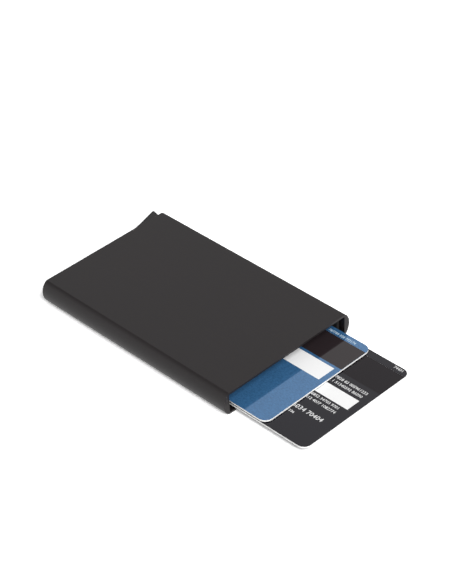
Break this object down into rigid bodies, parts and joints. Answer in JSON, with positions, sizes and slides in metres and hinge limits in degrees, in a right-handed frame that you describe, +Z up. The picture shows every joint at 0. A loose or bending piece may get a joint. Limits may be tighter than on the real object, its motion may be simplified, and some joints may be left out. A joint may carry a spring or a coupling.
{
  "type": "card holder",
  "caption": "Slim rigid aluminium card sleeve with bowed sides, an open mouth, cards drawn part way out and a corner finger lever that drives an inner pusher to slide the cards out.",
  "frame": {"origin": "centre of the sleeve's flat underside, on the surface that it rests on", "axes": "+Z up; +Y along the sleeve from the open mouth to the lever end; +X to the right when looking along +Y, towards the lever's corner"},
  "size_m": [0.0634, 0.1326, 0.0094],
  "materials": {
    "anodised_shell": "satin black anodised",
    "felt": "felt",
    "nylon": "natural",
    "black_plastic": "satin",
    "steel": "turned",
    "blue_card": "laminated",
    "black_card": "laminated",
    "card_stripe": "satin",
    "signature_panel": "matt print",
    "contacts": "polished"
  },
  "bodies": {
    "case": {"case_shell": "anodised_shell", "left_friction_strip": "felt", "right_friction_strip": "felt", "glide_pad": "nylon", "end_block": "black_plastic", "end_cover": "black_plastic", "end_screw_left": "steel", "end_screw_middle": "steel", "pivot_pin": "steel", "pivot_washer_lower": "nylon", "pivot_washer_upper": "nylon"},
    "pusher": {"card_pusher": "black_plastic"},
    "lever": {"eject_lever": "black_plastic", "drive_pin": "steel"},
    "upper_card": {"upper_card": "blue_card", "upper_card_stripe": "card_stripe", "upper_card_signature_panel": "signature_panel", "upper_card_chip": "contacts"},
    "lower_card": {"lower_card": "black_card", "lower_card_stripe": "card_stripe", "lower_card_signature_panel": "signature_panel", "lower_card_chip": "contacts"}
  },
  "joints": [
    {"name": "pusher_slide", "type": "slide", "parent": "case", "child": "pusher", "axis": [0, -1, 0], "range_m": [0, 0.016]},
    {"name": "lever_swing", "type": "hinge", "parent": "case", "child": "lever", "pos_m": [0.0268, 0.0427, 0.0047], "axis": [0, 0, 1], "range_deg": [0, 24]},
    {"name": "upper_card_slide", "type": "slide", "parent": "pusher", "child": "upper_card", "axis": [0, -1, 0], "range_m": [-0.016, 0.049]},
    {"name": "lower_card_slide", "type": "slide", "parent": "pusher", "child": "lower_card", "axis": [0, -1, 0], "range_m": [-0.034, 0.031]}
  ],
  "couplings": [
    {"joint": "lever_swing", "follows": "pusher_slide", "rad_per_m": 26.18}
  ]
}
